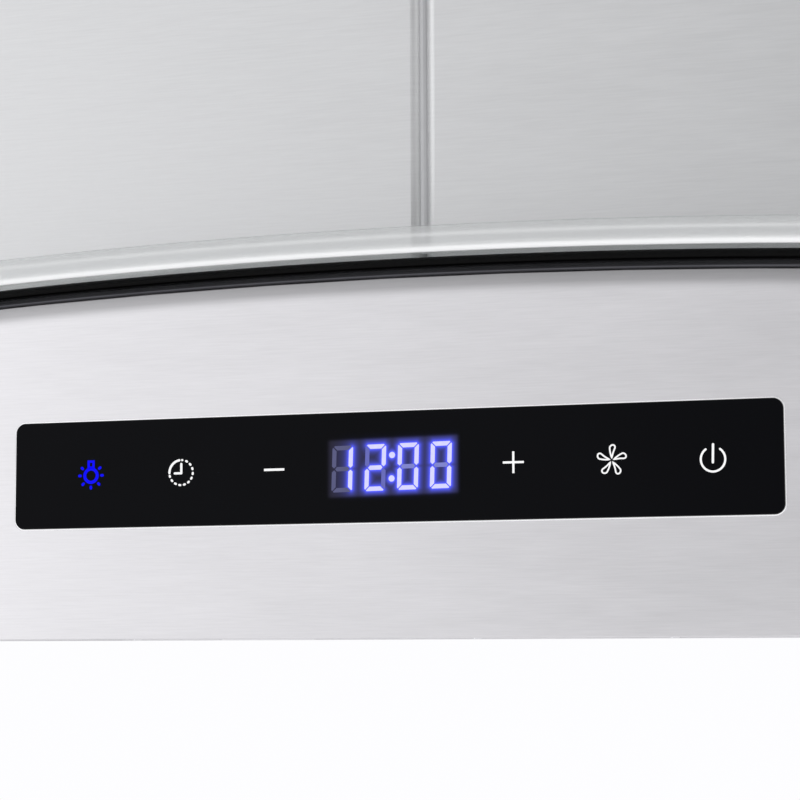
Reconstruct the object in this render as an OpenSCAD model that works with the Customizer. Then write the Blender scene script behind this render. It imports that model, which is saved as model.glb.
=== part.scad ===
// Island range hood: an arched glass canopy on a brushed steel body with a
// touch control panel, hung from the ceiling by a telescoping frame that two
// pairs of chimney covers hide. Millimetres, +Z up, front towards -Y.
// The origin is the centre of the ceiling plate's top face.

/* [Canopy body] */
// Width of the steel body
body_w = 600; // [590:1:610]
// Depth of the steel body, front to back
body_d = 480; // [480:1:484]
// Height of the steel body at its middle, bottom edge to arched top edge
body_h = 108; // [106:1:114]
// Sheet steel thickness of the body
sheet = 1.2; // [1:0.1:1.4]

/* [Glass canopy] */
// Width of the glass, measured flat across
glass_w = 900; // [840:10:1000]
// Depth of the glass
glass_d = 501; // [498:1:520]
// Thickness of the glass
glass_t = 8; // [6:0.5:8]
// Radius of the arch, at the underside of the glass
arch_r = 2400; // [2200:50:2800]
// Corner radius of the glass in plan
glass_corner = 22; // [8:1:40]
// Height of the rubber seal between body and glass
gasket_h = 5.7; // [4:0.1:7]

/* [Control panel] */
// Width of the touch glass
panel_w = 240; // [236:1:242]
// Height of the touch glass
panel_h = 33; // [30:0.5:34]
// Thickness of the touch glass
panel_t = 3; // [2.5:0.1:3.2]
// How far the touch glass stands out of the body's face
panel_proud = 0.8; // [0.4:0.1:1.2]
// Height of the panel's centre above the body's bottom edge
panel_z = 51; // [46:1:56]
// Corner radius of the panel
panel_corner = 3; // [1.5:0.5:5]
// Pitch of the touch keys
key_pitch = 30; // [29:0.5:31]

/* [Chimney] */
// Outer width and depth of the lower covers
cover_w = 340; // [340:1:346]
// Sheet thickness of the covers
cover_t = 1; // [0.8:0.1:1.2]
// Top of the lower covers above the body's bottom edge
lower_cover_top = 510; // [480:1:530]
// Bottom edge of the upper covers above the body's bottom edge
upper_cover_bottom = 430; // [400:1:440]
// Ceiling height above the body's bottom edge
hang_h = 800; // [780:5:860]
// Gap of the seam between two cover halves
seam_gap = 0.6; // [0.4:0.1:1.6]
// How far the seams stand left of the middle
seam_off = 7.5; // [0:0.5:12]

/* [Blower] */
// Radius of the impeller
fan_r = 72; // [68:1:73]
// Number of impeller blades
blades = 30; // [20:1:36]
// Outer radius of the duct collar
duct_r = 75; // [74:0.5:76]

/* [Grease filters] */
// Width of one filter
filter_w = 270; // [262:1:271]
// Length of one filter, front to back
filter_l = 368; // [360:1:369]
// Thickness of one filter
filter_t = 14; // [13:0.5:16]
// Number of lower baffles in one filter
baffles = 10; // [8:1:10]

/* [Lamps] */
// Radius of a lamp bezel
lamp_r = 24.5; // [23.5:0.1:24.5]
// Distance of the lamps from the middle, left and right
lamp_x = 205; // [190:1:240]

/* [Hidden] */

zc = body_h + gasket_h - arch_r;          // height of the arch's axis
steel = "#c9c9cd";
dark_steel = "#8f9196";
black = "#15161a";
rubber = "#1a1a1d";
seam_r = 4;                               // radius of the rolled seam edges
neck_w = 328;                             // outside of the neck that carries the blower
upper_w = cover_w - 11;                   // outside of the upper covers
post_z1 = 600;                            // top of the lower posts
post_z0 = 420;                            // bottom of the upper posts
post_out = 163;                           // outer faces of the upper posts
post_in = 160.5;                          // outer faces of the lower posts
box_w = 264;                              // outside of the blower box
box_z0 = 142;                             // the neck's top flange
box_z1 = 450;                             // top of the blower box
fan_y = -40;                              // impeller axis, along X
fan_z = 270;
scroll_x = 42;                            // inner half width of the scroll
scroll_wall = 1.6;
damper_z = 476;                           // axis of the damper rod
filter_x = 140;                           // middle of the right filter
pivot_y = 180;                            // filter hinge axis
pivot_z = 5.2;
filter_z = 1.2;                           // underside of the filters
filter_y0 = -184;                         // front edge of the filters
rail = 26;                                // width of a filter's front rail
edge = 12;                                // width of its other rails
key_x = [for (k = [-3.25, -2.25, -1.25, 1.25, 2.25, 3.25]) 2.5 + k * key_pitch];
button_x = 262;
button_y = 200;
lamp_y = 211.5;

// ---------------------------------------------------------------- helpers

// Rectangle with rounded corners, centred
module rounded(w, d, r) {
  square([w - 2 * r, d], center = true);
  square([w, d - 2 * r], center = true);
  for (x = [-1, 1], y = [-1, 1]) translate([x * (w / 2 - r), y * (d / 2 - r)]) circle(r = r, $fn = 64);
}

// Rectangular ring, centred
module ring_plate(w_out, d_out, w_in, d_in, z0, z1)
  translate([0, 0, z0]) linear_extrude(z1 - z0) difference() {
    square([w_out, d_out], center = true);
    square([w_in, d_in], center = true);
  }

// Everything under an arch of this radius
module under_arch(r)
  translate([0, 0, zc]) rotate([90, 0, 0]) cylinder(r = r, h = 1400, center = true, $fn = 720);

// The layer between two arch radii, cut to a plan outline given as a child
module arch_layer(r0, r1)
  intersection() {
    linear_extrude(300) children();
    difference() { under_arch(r1); under_arch(r0); }
  }

// Places a child, standing along Z, on the arch at plan position x, y
module on_arch(x, y, r)
  translate([0, y, zc]) rotate([0, asin(x / arch_r), 0]) translate([0, 0, r]) children();

// The hood is drawn up from the body's bottom edge, then hung from the origin
module hung() translate([0, 0, -hang_h]) children();

module at_corners(x, y) for (i = [-1, 1], j = [-1, 1]) translate([i * x, j * y, 0]) children();

module tube(r_out, r_in, h)
  difference() { cylinder(r = r_out, h = h, $fn = 96); translate([0, 0, -1]) cylinder(r = r_in, h = h + 2, $fn = 96); }

// Pan head screw along -Z, its head's underside at z = 0
module screw(r, head_r, head_h, l)
  difference() {
    union() { cylinder(r = head_r, h = head_h, $fn = 40); translate([0, 0, -l]) cylinder(r = r, h = l + 0.1, $fn = 32); }
    for (a = [0, 90]) rotate([0, 0, a]) translate([-head_r * 0.62, -0.45, head_h * 0.45]) cube([head_r * 1.24, 0.9, head_h]);
  }

// ------------------------------------------------------ ceiling mounting

module ceiling_plate() color(dark_steel) difference() {
  union() {
    translate([0, 0, hang_h - 2]) linear_extrude(2) square([upper_w, upper_w], center = true);
    ring_plate(244, 244, 240, 240, hang_h - 14, hang_h - 1);
  }
  translate([-120, -120, hang_h - 20]) cube([240, 240, 40]);
  at_corners(142, 142) translate([0, 0, hang_h - 3]) cylinder(r = 4.25, h = 4, $fn = 48);
}

// One angle section post in the +X +Y corner, cut in plan
module angle(out, leg, t, z0, z1)
  translate([0, 0, z0]) linear_extrude(z1 - z0) difference() {
    translate([out - leg, out - leg]) square(leg);
    translate([out - leg - 1, out - leg - 1]) square(leg + 1 - t);
  }

module in_corners() for (i = [0, 1], j = [0, 1]) mirror([i, 0, 0]) mirror([0, j, 0]) children();

module upper_posts() color(dark_steel) in_corners() difference() {
  angle(post_out, 25, 2, post_z0, hang_h - 2);
  for (z = [435, 500]) translate([post_out - 3, 149, z]) rotate([0, 90, 0]) cylinder(r = 2.4, h = 4, $fn = 32);
}

module upper_braces() color(dark_steel) for (i = [0, 1]) mirror([i, 0, 0])
  translate([post_out - 2, -138, 424]) difference() {
    cube([2, 276, 26]);
    translate([-1, 40, 6]) cube([4, 196, 14]);
  }

module frame_screws() color("#b9bbc0") in_corners() for (z = [435, 500]) translate([0, 149, z]) {
  translate([post_out, 0, 0]) rotate([0, -90, 0]) cylinder(r = 2.4, h = 9, $fn = 32);
  translate([post_in - 2.3, 0, 0]) rotate([0, -90, 0]) difference() {
    cylinder(r = 5, h = 4, $fn = 6);
    translate([0, 0, -1]) cylinder(r = 2.4, h = 6, $fn = 32);
  }
}

module lower_posts() color(dark_steel) in_corners() difference() {
  angle(post_in, 22, 2, box_z0, post_z1);
  translate([post_in - 3, 149 - 2.8, 330]) cube([4, 5.6, 235]);
}

module lower_braces() color(dark_steel) for (i = [0, 1]) mirror([i, 0, 0])
  translate([post_in - 2, -138.5, 572]) difference() {
    cube([2, 277, 26]);
    translate([-1, 40, 6]) cube([4, 197, 14]);
  }

// --------------------------------------------------------- chimney covers

// A quarter of a bent sheet, its outer corner towards +X -Y
module bend(r, t)
  difference() {
    intersection() { circle(r = r, $fn = 64); translate([0, -r]) square(r); }
    circle(r = r - t, $fn = 64);
  }

// Plan of the right half of a cover: three walls, bent corners, rolled seam edges at x0
module half_cover(w, t, x0) for (j = [0, 1]) mirror([0, j]) {
  h = w / 2;
  br = 3;
  translate([x0 + seam_r, -h]) square([h - x0 - seam_r - br, t]);
  translate([h - br, -h + br]) bend(br, t);
  translate([x0 + seam_r, -h + seam_r]) mirror([1, 0]) bend(seam_r, t);
  translate([h - t, -h + br]) square([t, h - br]);
}

module lower_half(x0) color(steel) difference() {
  linear_extrude(lower_cover_top) half_cover(cover_w, cover_t, x0);
  under_arch(arch_r + glass_t + 3.3);
  for (y = [-120, 120]) translate([cover_w / 2 - 2, y, 170]) rotate([0, 90, 0]) cylinder(r = 2.2, h = 4, $fn = 32);
}

module lower_seam_strips() color(dark_steel) for (j = [0, 1]) mirror([0, j, 0])
  translate([-14 - seam_off, -cover_w / 2 + seam_r, 132]) cube([28, 1, lower_cover_top - 136]);

module lower_cover_screws() color("#d5d6da") for (i = [0, 1]) mirror([i, 0, 0])
  for (y = [-120, 120]) translate([cover_w / 2, y, 170]) rotate([0, 90, 0]) screw(2.2, 3.8, 1.5, 1.0);

module upper_half(x0) color(steel) difference() {
  translate([0, 0, upper_cover_bottom]) linear_extrude(hang_h - 2 - upper_cover_bottom)
    half_cover(upper_w, cover_t, x0);
  for (k = [0:5], y = [-84, 0, 84]) translate([upper_w / 2 - 3, y - 34, hang_h - 90 + k * 11]) cube([5, 68, 4]);
}

module upper_seam_strips() color(dark_steel) for (j = [0, 1]) mirror([0, j, 0])
  translate([-14 - seam_off, -upper_w / 2 + seam_r, upper_cover_bottom + 4]) cube([28, 1, hang_h - upper_cover_bottom - 10]);

module chimney_seal() color(rubber) arch_layer(arch_r + glass_t, arch_r + glass_t + 3) difference() {
  rounded(cover_w + 3, cover_w + 3, 4);
  rounded(cover_w - 7, cover_w - 7, 2);
}

// ------------------------------------------------------------ canopy body

module body_shell() color(steel) difference() {
  union() {
    difference() {
      intersection() {
        translate([-body_w / 2, -body_d / 2, 0]) cube([body_w, body_d, 200]);
        under_arch(arch_r - gasket_h);
      }
      intersection() {
        translate([-body_w / 2 + sheet, -body_d / 2 + sheet, -1]) cube([body_w - 2 * sheet, body_d - 2 * sheet, 201]);
        under_arch(arch_r - gasket_h - sheet);
      }
    }
    ring_plate(body_w - sheet, body_d - sheet, body_w - 6, body_d - 6, 0, sheet);
  }
  translate([-neck_w / 2, -neck_w / 2, 50]) cube([neck_w, neck_w, 100]);
  translate([0, -body_d / 2, panel_z]) rotate([90, 0, 0]) linear_extrude(8, center = true)
    rounded(panel_w + 0.6, panel_h + 0.6, panel_corner + 0.3);
  for (i = [-1, 1], j = [-1, 1]) on_arch(i * button_x, j * button_y, arch_r - gasket_h - 6) cylinder(r = 3, h = 9, $fn = 32);
}

module bottom_panel() color(steel) {
  difference() {
    translate([-body_w / 2 + 1.4, -body_d / 2 + 1.4, sheet]) cube([body_w - 2.8, body_d - 2.8, sheet]);
    for (i = [-1, 1]) {
      translate([i * filter_x - 136, -186, 0]) cube([272, 373.5, 5]);
      translate([i * filter_x - 8, -190.5, 0]) cube([16, 10, 5]);
    }
    at_corners(lamp_x, lamp_y) cylinder(r = 22.5, h = 5, $fn = 64);
    for (x = [-285, -100, 0, 100, 285], j = [-1, 1]) translate([x, j * 229, 0]) cylinder(r = 1.7, h = 5, $fn = 32);
  }
  // Bearings of the filter hinges
  for (i = [-1, 1], s = [-1, 1]) difference() {
    translate([i * filter_x + s * 137 - 0.8, pivot_y - 5, 2 * sheet - 0.2]) cube([1.6, 10, 8]);
    translate([i * filter_x + s * 137 - 2, pivot_y, pivot_z]) rotate([0, 90, 0]) cylinder(r = 2.08, h = 4, $fn = 48);
  }
}

module bottom_screws() color("#d5d6da") for (x = [-285, -100, 0, 100, 285], j = [-1, 1])
  translate([x, j * 229, sheet]) mirror([0, 0, 1]) screw(1.7, 3, 0.9, 6);

module neck_frame() color(dark_steel) {
  ring_plate(neck_w, neck_w, neck_w - 4, neck_w - 4, body_h - 14, box_z0);
  ring_plate(neck_w, neck_w, 276, 276, box_z0 - 2, box_z0);
}

// ----------------------------------------------------------------- glass

module glass_canopy() color([0.75, 0.85, 0.84, 0.45]) difference() {
  arch_layer(arch_r, arch_r + glass_t) rounded(glass_w, glass_d, glass_corner);
  translate([0, 0, 60]) linear_extrude(120) rounded(neck_w + 4, neck_w + 4, 5);
  for (i = [-1, 1], j = [-1, 1]) on_arch(i * button_x, j * button_y, arch_r - 5) cylinder(r = 6, h = glass_t + 10, $fn = 48);
}

module glass_gasket() color(rubber) arch_layer(arch_r - gasket_h, arch_r) difference() {
  rounded(body_w + 3, body_d + 3, 3);
  rounded(body_w - 21, body_d - 21, 2);
}

module glass_washers() color(rubber) for (i = [-1, 1], j = [-1, 1]) on_arch(i * button_x, j * button_y, arch_r) {
  translate([0, 0, -gasket_h]) tube(10, 3.1, gasket_h - 0.03);
  translate([0, 0, -0.1]) tube(5.9, 3.1, glass_t + 0.2);
  translate([0, 0, glass_t]) tube(9.5, 3.1, 1);
}

module glass_buttons() color("#d9dade") for (i = [-1, 1], j = [-1, 1]) on_arch(i * button_x, j * button_y, arch_r + glass_t + 1) {
  rotate_extrude($fn = 64) polygon([[0, 0], [11, 0], [11, 1.6], [10.2, 2.8], [8.6, 3.4], [0, 3.6]]);
  translate([0, 0, -glass_t - gasket_h - 9]) cylinder(r = 3, h = glass_t + gasket_h + 9.2, $fn = 32);
  translate([0, 0, -glass_t - gasket_h - 7.4]) tube(5.6, 2.9, 4.2);
}

// ---------------------------------------------------------- control panel

module facing_front(y) translate([0, y, panel_z]) rotate([-90, 0, 0]) children();

module touch_glass() color(black) facing_front(-body_d / 2 - panel_proud)
  linear_extrude(panel_t) rounded(panel_w, panel_h, panel_corner);

module display_module() color("#30343c") translate([2.5 - 22, -body_d / 2 - panel_proud + panel_t, panel_z - 10]) cube([44, 8.5, 20]);

board_y = -body_d / 2 - panel_proud + panel_t + 8.5;
module touch_board() color("#1c5a3a") difference() {
  translate([-118, board_y, panel_z - 15]) cube([236, 1.6, 30]);
  for (x = [-114, 114], z = [-11.5, 11.5]) translate([x, board_y - 1, panel_z + z]) rotate([-90, 0, 0]) cylinder(r = 1.6, h = 4, $fn = 32);
}

module touch_pads() color("#b59a4e") for (x = key_x) translate([x, -body_d / 2 - panel_proud + panel_t, panel_z])
  rotate([-90, 0, 0]) { cylinder(r = 5, h = 0.8, $fn = 40); tube(3, 2.4, 8.5); }

module control_housing() color("#3a3c40") {
  for (x = [-114, 114], z = [-11.5, 11.5]) translate([x, board_y + 1.6, panel_z + z]) rotate([-90, 0, 0]) {
    cylinder(r = 3.2, h = 4.4, $fn = 40);
    translate([0, 0, -1.6]) cylinder(r = 1.6, h = 2, $fn = 32);
  }
  housing_shell();
}

module housing_shell() difference() {
  union() {
    translate([-125, -body_d / 2 + sheet, panel_z - 21]) cube([250, 17, 42]);
    for (x = [-133, 133]) translate([x - 9, -body_d / 2 + sheet, panel_z - 8]) cube([18, 2.4, 16]);
  }
  translate([-122.5, -body_d / 2, panel_z - 18.5]) cube([245, 15.6, 37]);
  for (x = [-137, 137]) translate([x, -body_d / 2, panel_z]) rotate([-90, 0, 0]) cylinder(r = 1.8, h = 6, $fn = 32);
  translate([60, -230, panel_z + 12]) cube([20, 6, 20]);
}

// --------------------------------------------------------------- blower

module blower_box() color(steel) {
  difference() {
    translate([-box_w / 2, -box_w / 2, box_z0]) cube([box_w, box_w, box_z1 - box_z0]);
    translate([-box_w / 2 + 1, -box_w / 2 + 1, box_z0 - 1]) cube([box_w - 2, box_w - 2, box_z1 - box_z0]);
    translate([0, 0, box_z1 - 5]) cylinder(r = duct_r - 1, h = 10, $fn = 120);
  }
}

module blower_flange() color(steel) ring_plate(300, 300, box_w, box_w, box_z0, box_z0 + 1.2);

function volute(a) = 76 + (a - 75) / 285 * 24;
inner_wall = concat([for (a = [75:5:360]) [fan_y + volute(a) * cos(a), fan_z + volute(a) * sin(a)]],
  [[60, 452], [fan_y + 76 * cos(75), 452]]);
outer_wall = concat([for (a = [80:5:360]) [fan_y + (volute(a) + scroll_wall) * cos(a), fan_z + (volute(a) + scroll_wall) * sin(a)]],
  [[60 + scroll_wall, box_z1 - 1], [fan_y + 76 * cos(75) - scroll_wall, box_z1 - 1], [fan_y + 76 * cos(75) - scroll_wall, fan_z + 78]]);

// Turns a profile drawn in Y, Z into a prism from x0 to x1
module prism_x(x0, x1) translate([x0, 0, 0]) rotate([90, 0, 90]) linear_extrude(x1 - x0) children();

module scroll_half() color("#4a4d52") difference() {
  prism_x(0, scroll_x + scroll_wall) polygon(outer_wall);
  prism_x(-1, scroll_x) polygon(inner_wall);
  translate([0, fan_y, fan_z]) rotate([0, 90, 0]) cylinder(r = 58, h = 60, $fn = 96);
}

module inlet_ring() color("#3a3c40") translate([scroll_x + scroll_wall, fan_y, fan_z]) rotate([0, 90, 0])
  rotate_extrude($fn = 96) polygon([[54, -4], [55.2, -4], [56.4, -1], [58, 0], [68, 0], [68, 1.2], [57, 1.2], [54.6, -0.4]]);

module motor_bracket() color(dark_steel) translate([-scroll_x - scroll_wall, fan_y, fan_z]) rotate([0, -90, 0]) {
  tube(68, 58, 2.4);
  tube(46.5, 42, 8);
  for (a = [30, 150, 270]) rotate([0, 0, a]) translate([45, -6, 0]) cube([14, 12, 2.4]);
}

module motor_can() color("#7d8087") translate([-88, fan_y, fan_z]) rotate([0, 90, 0]) tube(42, 4.06, 62);

module motor_end_caps() color("#a9abb0") for (x = [-94, -26]) translate([x, fan_y, fan_z]) rotate([0, 90, 0]) difference() {
  cylinder(r = 30, h = 6, $fn = 72);
  translate([0, 0, -1]) cylinder(r = 4.06, h = 8, $fn = 48);
  for (a = [0:60:300]) rotate([0, 0, a]) translate([18, -3, -1]) cube([8, 6, 8]);
}

module motor_shaft() color("#d5d6da") translate([-98, fan_y, fan_z]) rotate([0, 90, 0]) cylinder(r = 4, h = 124, $fn = 48);

module impeller() color("#55585e") translate([0, fan_y, fan_z]) rotate([0, 90, 0]) difference() {
  union() {
    translate([0, 0, -1]) cylinder(r = fan_r - 1, h = 2, $fn = 96);
    translate([0, 0, -6]) cylinder(r = 10, h = 20, $fn = 48);
    for (z = [-36, 34]) translate([0, 0, z]) tube(fan_r, fan_r - 13, 2);
    for (k = [0:blades - 1]) rotate([0, 0, k * 360 / blades]) translate([fan_r - 7, 0, 0]) rotate([0, 0, 28])
      translate([-6, -0.6, -35]) cube([12, 1.2, 70]);
  }
  translate([0, 0, -20]) cylinder(r = 4, h = 60, $fn = 48);
}

module impeller_nut() color("#d5d6da") translate([14, fan_y, fan_z]) rotate([0, 90, 0]) difference() {
  cylinder(r = 8, h = 6, $fn = 6);
  translate([0, 0, -1]) cylinder(r = 4, h = 8, $fn = 48);
}

module capacitor() color("#dcdcd8") {
  translate([70, 146, 230]) cylinder(r = 13, h = 52, $fn = 48);
  translate([70, 146, 282]) cylinder(r = 3, h = 8, $fn = 32);
  translate([56, box_w / 2, 244]) cube([28, 14, 16]);
}

module power_box() color("#2c2e33") difference() {
  translate([-55, -154, 190]) cube([110, 22, 120]);
  translate([-53, -155, 192]) cube([106, 21, 116]);
  translate([30, -143, 300]) cylinder(r = 6.5, h = 20, $fn = 48);
}

module power_box_lid() color("#2c2e33") translate([-55, -156, 190]) cube([110, 2, 120]);

module power_board() color("#1c5a3a") {
  translate([-48, -138, 198]) cube([96, 1.6, 104]);
  translate([-40, -150, 210]) cube([30, 12, 26]);
  translate([0, -149, 250]) cube([16, 11, 22]);
  translate([22, -146, 205]) rotate([-90, 0, 0]) cylinder(r = 8, h = 8, $fn = 40);
  for (x = [-42, 42], z = [204, 296]) translate([x, -136.5, z]) rotate([-90, 0, 0]) cylinder(r = 3, h = 2.5, $fn = 32);
}

module cable_gland() color(rubber) translate([30, -143, 0]) difference() {
  union() {
    translate([0, 0, 304]) cylinder(r = 6.5, h = 8, $fn = 48);
    translate([0, 0, 310]) cylinder(r = 9.5, h = 5, $fn = 6);
    translate([0, 0, 315]) cylinder(r = 7.5, h = 8, $fn = 48);
    translate([0, 0, 304]) cylinder(r = 9, h = 4, $fn = 48);
  }
  translate([0, 0, 290]) cylinder(r = 4, h = 50, $fn = 48);
}

module collar_flange() color("#b9bbc0") translate([0, 0, box_z1]) difference() {
  cylinder(r = duct_r + 17, h = 1.2, $fn = 120);
  translate([0, 0, -1]) cylinder(r = duct_r - 1, h = 4, $fn = 120);
}

module duct_collar() color("#b9bbc0") {
  difference() {
    union() {
      translate([0, 0, box_z1 + 1.2]) cylinder(r = duct_r - 0.3, h = 2, $fn = 120);
      translate([0, 0, box_z1 + 2.2]) cylinder(r = duct_r, h = 50, $fn = 120);
    }
    translate([0, 0, box_z1 - 1]) cylinder(r = duct_r - 1, h = 60, $fn = 120);
    translate([0, 0, damper_z]) rotate([90, 0, 0]) cylinder(r = 2, h = 200, center = true, $fn = 48);
  }
  // Stops under the rim of each flap
  for (i = [-1, 1]) difference() {
    translate([i * (duct_r - 3.4) - 2.8, -6, damper_z - 8]) cube([5.6, 12, 7.3]);
    translate([0, 0, damper_z - 10]) tube(duct_r + 10, duct_r - 0.5, 20);
  }
}

module damper_rod() color("#d5d6da") translate([0, 0, damper_z]) rotate([90, 0, 0])
  cylinder(r = 2, h = 2 * duct_r - 0.4, center = true, $fn = 48);

// Half disc on hinge barrels around the rod; ys lists where its barrels run
module flap(ys) color("#aeb0b6") {
  difference() {
    intersection() {
      translate([0, 0, damper_z - 0.4]) cylinder(r = duct_r - 2.6, h = 0.8, $fn = 96);
      translate([3.9, -100, damper_z - 2]) cube([100, 200, 4]);
    }
  }
  for (y = ys) difference() {
    union() {
      translate([0, y[0], damper_z]) rotate([-90, 0, 0]) cylinder(r = 3.4, h = y[1] - y[0], $fn = 40);
      translate([2.2, y[0], damper_z - 0.4]) cube([3, y[1] - y[0], 0.8]);
    }
    translate([0, y[0] - 1, damper_z]) rotate([-90, 0, 0]) cylinder(r = 2.08, h = y[1] - y[0] + 2, $fn = 48);
  }
}
module damper_flap_right() flap([[-20, 20]]);
module damper_flap_left() mirror([1, 0, 0]) flap([[-62, -22], [22, 62]]);

// ---------------------------------------------------------------- lamps

module lamp_bezels() color("#e2e3e6") at_corners(lamp_x, lamp_y) {
  rotate_extrude($fn = 72) polygon([[19.5, 1.2], [19.9, 0.3], [lamp_r - 1, 0.3], [lamp_r, 0.9], [lamp_r, sheet],
    [22.2, sheet], [22.2, 12], [21, 12], [21, 3.2], [19.5, 3.2]]);
}
module lamp_lenses() color("#f2f4f5") at_corners(lamp_x, lamp_y) translate([0, 0, 0.7]) rotate_extrude($fn = 72)
  polygon([[0, 0.3], [19.5, 0.5], [19.5, 1.0], [19.2, 1.8], [0, 1.8]]);
module lamp_cans() color("#a9abb0") at_corners(lamp_x, lamp_y) {
  translate([0, 0, 3.2]) cylinder(r = 20.9, h = 12, $fn = 64);
  for (z = [17, 20, 23, 26]) translate([0, 0, z]) cylinder(r = 20, h = 1.4, $fn = 64);
  translate([0, 0, 15]) cylinder(r = 11, h = 13, $fn = 48);
}

// --------------------------------------------------------------- filters

module in_filter() translate([filter_x, 0, filter_z]) children();

module filter_frame() color(steel) in_filter() difference() {
  union() {
    difference() {
      translate([-filter_w / 2, filter_y0, 0]) cube([filter_w, filter_l, filter_t]);
      translate([-filter_w / 2 + edge, filter_y0 + rail, -1]) cube([filter_w - 2 * edge, filter_l - rail - edge, filter_t + 2]);
      translate([-filter_w / 2 + 1, filter_y0 + 1, 1]) cube([filter_w - 2, filter_l - 2, filter_t - 2]);
    }
    for (s = [-1, 1]) translate([s * (filter_w / 2 - 0.5), pivot_y, pivot_z - filter_z]) rotate([0, s * 90, 0])
      cylinder(r = 2, h = 3.2, $fn = 48);
    translate([-3.6, filter_y0 + 24.9, 0.5]) cube([7.2, 1.1, 8.5]);
  }
  // Window for the latch's grip, and the hole for its bolt
  translate([-18.5, filter_y0 + 4, -1]) cube([37, 18.5, 2.5]);
  translate([-6.6, filter_y0 - 1, 2.9]) cube([13.2, 3, 3]);
}

pitch = (filter_w - 2 * edge) / baffles;
module channel(w, h, t, l) {
  translate([-w / 2, 0, 0]) cube([w, l, t]);
  for (s = [0, 1]) mirror([s, 0, 0]) translate([w / 2 - t, 0, 0]) cube([t, l, h]);
}
module filter_baffles() color(steel) in_filter() {
  l = filter_l - rail - edge + 18;
  y0 = filter_y0 + rail - 1;
  for (k = [0:baffles - 1]) translate([-filter_w / 2 + edge + pitch * (k + 0.5), y0, 1]) channel(pitch * 0.68, 4.6, 0.8, l - 9);
  for (k = [1:baffles - 1]) translate([-filter_w / 2 + edge + pitch * k, y0, filter_t - 1]) mirror([0, 0, 1]) channel(pitch * 0.68, 4.6, 0.8, l - 9);
}

module latch() color("#33353a") in_filter() translate([0, filter_y0, 0]) {
  // Grip in the window, guide wings above the rail's lower flange, bolt through the front wall
  difference() {
    translate([-18, 4.6, 0]) cube([36, 11.4, 2.6]);
    translate([-12, 7, -1]) cube([24, 6.6, 2.2]);
  }
  translate([-23, 4.6, 1.3]) cube([46, 11.4, 1.5]);
  translate([-6, -5, 3.1]) cube([12, 15, 2.2]);
  translate([-6, 4.6, 2.4]) cube([12, 11.4, 1.2]);
}

// Compression spring along Y behind the latch's bolt
spring_r = 2.2;
wire_r = 0.35;
turns = 5;
function coil(t) = [spring_r * cos(360 * turns * t), 8 * t, spring_r * sin(360 * turns * t)];
function ring_at(t) = let (p = coil(t), a = 360 * turns * t)
  [for (s = [0:5]) p + wire_r * [cos(60 * s) * cos(a), sin(60 * s), cos(60 * s) * sin(a)]];
module spring() {
  n = 70;
  pts = [for (k = [0:n]) each ring_at(k / n)];
  polyhedron(points = pts, faces = concat(
    [[for (s = [0:5]) s]],
    [for (k = [0:n - 1], s = [0:5]) [k * 6 + s, (k + 1) * 6 + s, (k + 1) * 6 + (s + 1) % 6, k * 6 + (s + 1) % 6]],
    [[for (s = [5:-1:0]) n * 6 + s]]));
}
module latch_spring() color("#d5d6da") in_filter() translate([0, filter_y0 + 16.45, 6]) spring();

// ----------------------------------------------------------------- nodes

hung() ceiling_plate();
hung() upper_posts();
hung() upper_braces();
hung() mirror([1, 0, 0]) upper_half(seam_gap / 2 + seam_off);  // upper_cover_left
hung() upper_half(seam_gap / 2 - seam_off);  // upper_cover_right
hung() upper_seam_strips();
hung() frame_screws();
hung() body_shell();
hung() bottom_panel();
hung() bottom_screws();
hung() glass_canopy();
hung() glass_gasket();
hung() glass_washers();
hung() glass_buttons();
hung() neck_frame();
hung() chimney_seal();
hung() touch_glass();
hung() display_module();
hung() touch_board();
hung() touch_pads();
hung() control_housing();
hung() lower_posts();
hung() lower_braces();
hung() blower_box();
hung() blower_flange();
hung() mirror([1, 0, 0]) scroll_half();  // scroll_left
hung() scroll_half();  // scroll_right
hung() inlet_ring();
hung() motor_bracket();
hung() motor_can();
hung() motor_end_caps();
hung() motor_shaft();
hung() impeller();
hung() impeller_nut();
hung() capacitor();
hung() power_box();
hung() power_box_lid();
hung() power_board();
hung() cable_gland();
hung() collar_flange();
hung() duct_collar();
hung() damper_rod();
hung() damper_flap_left();
hung() damper_flap_right();
hung() lamp_bezels();
hung() lamp_lenses();
hung() lamp_cans();
hung() mirror([1, 0, 0]) lower_half(seam_gap / 2 + seam_off);  // lower_cover_left
hung() lower_half(seam_gap / 2 - seam_off);  // lower_cover_right
hung() lower_seam_strips();
hung() lower_cover_screws();
hung() mirror([1, 0, 0]) filter_frame();  // filter_frame_left
hung() mirror([1, 0, 0]) filter_baffles();  // filter_baffles_left
hung() filter_frame();  // filter_frame_right
hung() filter_baffles();  // filter_baffles_right
hung() mirror([1, 0, 0]) latch();  // latch_left
hung() latch();  // latch_right
hung() mirror([1, 0, 0]) latch_spring();  // latch_spring_left
hung() latch_spring();  // latch_spring_right
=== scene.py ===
import math
import bmesh
import bpy
import numpy as np
from mathutils import Euler, Matrix, Vector


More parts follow.
